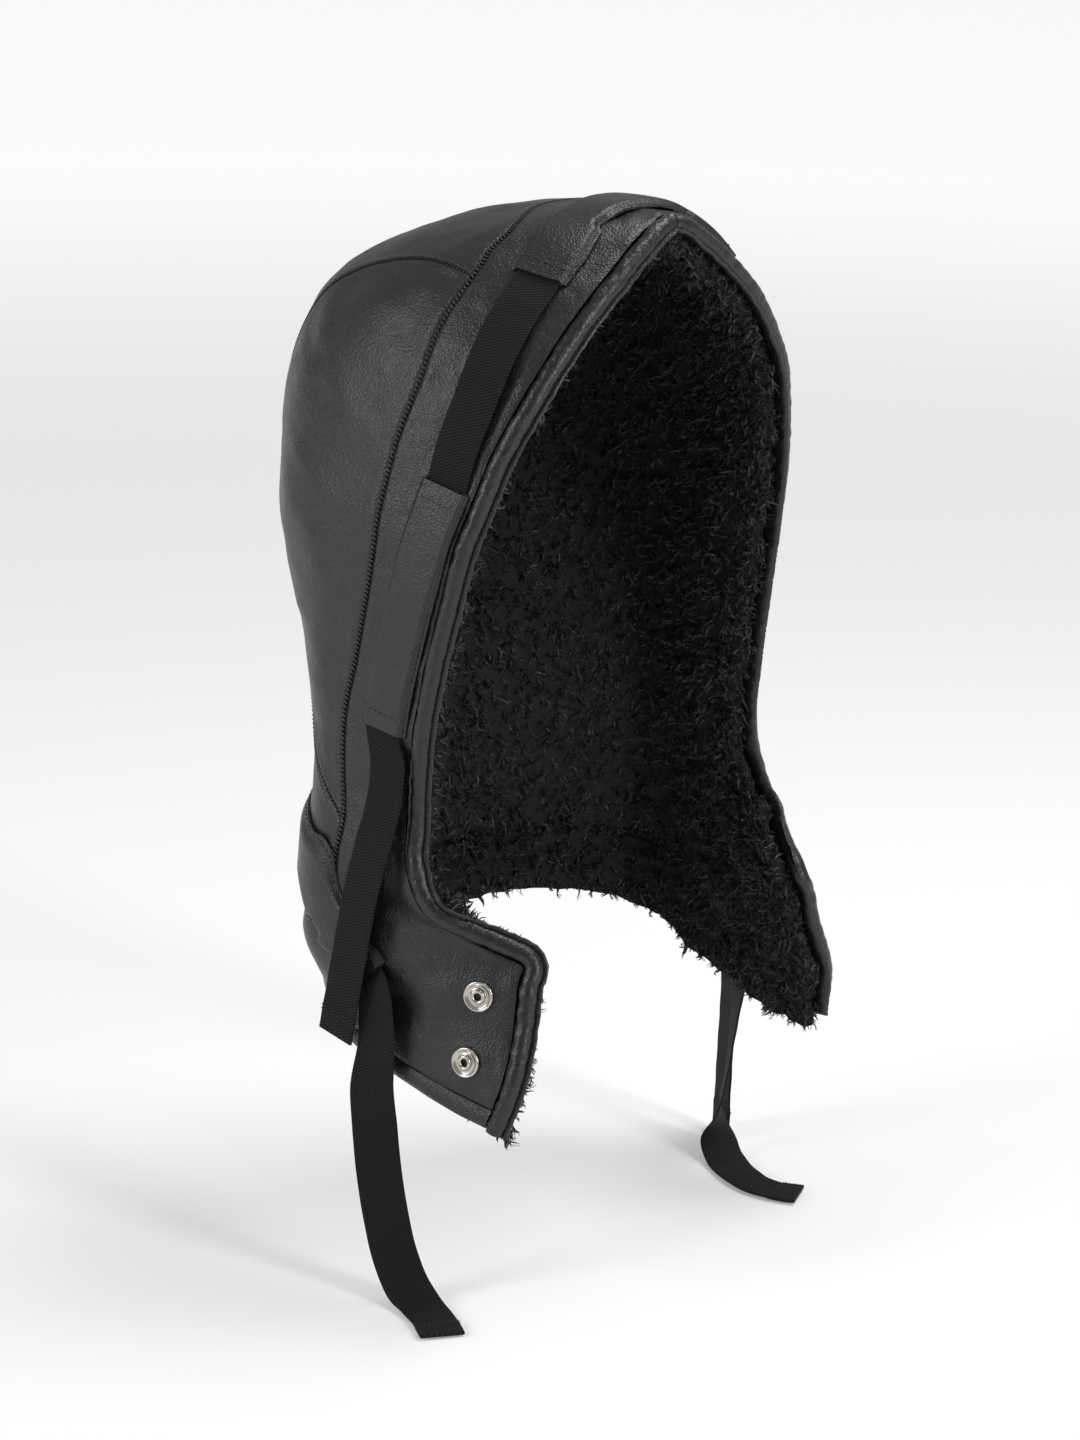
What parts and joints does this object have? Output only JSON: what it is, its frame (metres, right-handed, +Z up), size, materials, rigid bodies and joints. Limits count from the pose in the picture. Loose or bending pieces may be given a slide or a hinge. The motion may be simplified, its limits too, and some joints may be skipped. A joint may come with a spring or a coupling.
{
  "type": "sheepskin hood",
  "caption": "Leather hood with a wool lining, a rolled face edge, webbing straps in stitched channels and press studs on the throat flaps.",
  "frame": {"origin": "seat of the wearer's head inside the top of the crown, on the middle plane", "axes": "+Z up, -Y out of the face opening, -X to the wearer's right"},
  "size_m": [0.3555, 0.2527, 0.5935],
  "materials": {
    "leather_black": "soft satin nappa",
    "wool_black": "dense curly wool",
    "webbing_black": "matt twill webbing",
    "nickel": "polished nickel"
  },
  "bodies": {
    "root": {"front_band_right": "leather_black", "front_band_left": "leather_black", "side_panel_right": "leather_black", "side_panel_left": "leather_black", "crown_panel": "leather_black", "hem_band": "leather_black", "edge_binding_right": "leather_black", "edge_binding_left": "leather_black", "fur_lining": "wool_black", "top_tunnel": "leather_black", "side_tunnel_right": "leather_black", "side_tunnel_left": "leather_black", "nape_tunnel": "leather_black", "head_strap": "webbing_black", "neck_strap": "webbing_black", "stud_upper": "nickel", "stud_lower": "nickel", "snap_cap_upper": "nickel", "snap_cap_lower": "nickel"}
  },
  "joints": []
}
